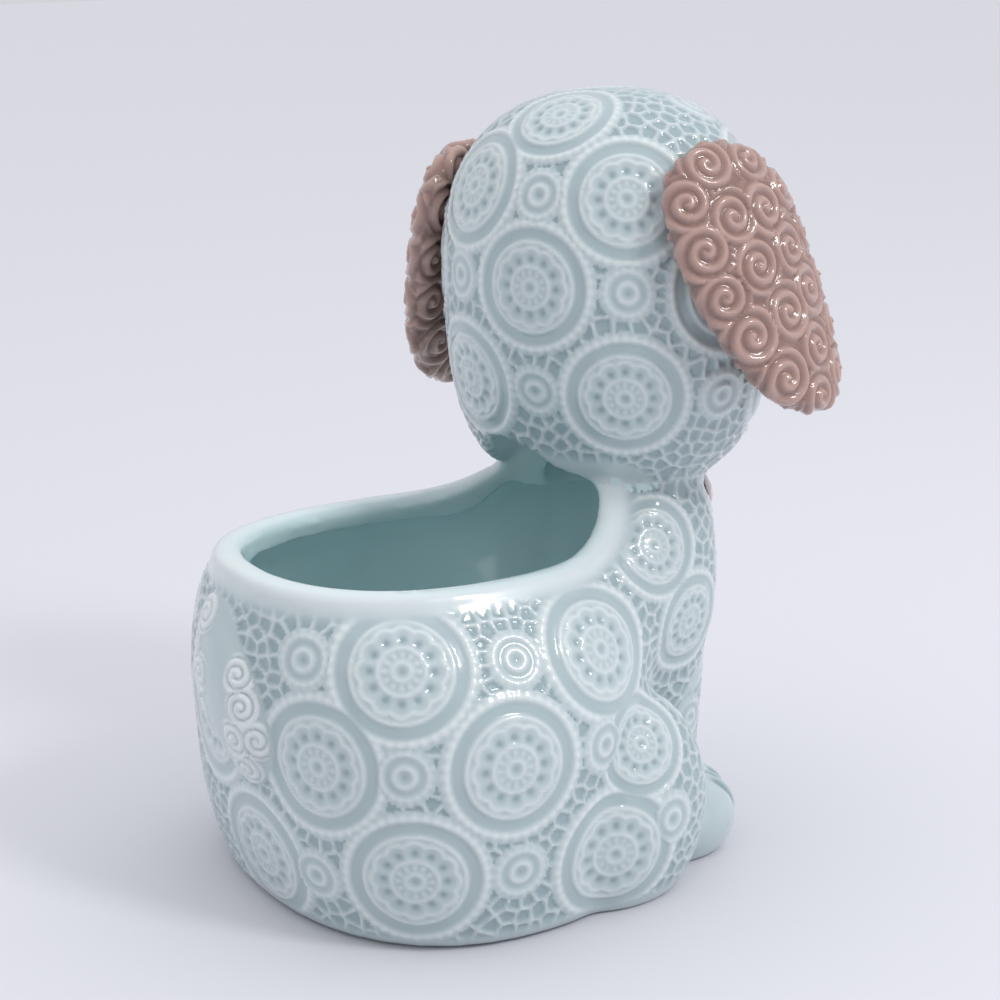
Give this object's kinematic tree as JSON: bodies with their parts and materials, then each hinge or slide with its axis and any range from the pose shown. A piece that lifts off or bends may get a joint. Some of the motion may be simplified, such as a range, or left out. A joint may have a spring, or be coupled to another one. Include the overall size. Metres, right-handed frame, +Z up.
{
  "type": "puppy planter",
  "caption": "Glazed earthenware plant pot in the shape of a sitting puppy, with the planting opening in its back, floppy ears and a bow",
  "frame": {"origin": "middle of the bounding box in X and Y, on the standing plane under the foot ring", "axes": "+Z up, the puppy's chest faces -Y, its left side is +X, its tail and the planting opening are towards +Y"},
  "size_m": [0.1208, 0.1638, 0.1906],
  "materials": {
    "aqua_glaze": "clear gloss over a pale aqua glaze that breaks lighter on the ridges",
    "pink_glaze": "gloss dusty pink glaze",
    "black_glaze": "gloss black glaze"
  },
  "bodies": {
    "root": {"pot_body": "aqua_glaze", "head": "aqua_glaze", "right_ear": "pink_glaze", "left_ear": "pink_glaze", "tail": "aqua_glaze", "right_foreleg": "aqua_glaze", "left_foreleg": "aqua_glaze", "right_fore_paw": "aqua_glaze", "left_fore_paw": "aqua_glaze", "right_hind_paw": "aqua_glaze", "left_hind_paw": "aqua_glaze", "nose": "black_glaze", "right_eye": "black_glaze", "left_eye": "black_glaze", "bow": "pink_glaze"}
  },
  "joints": []
}
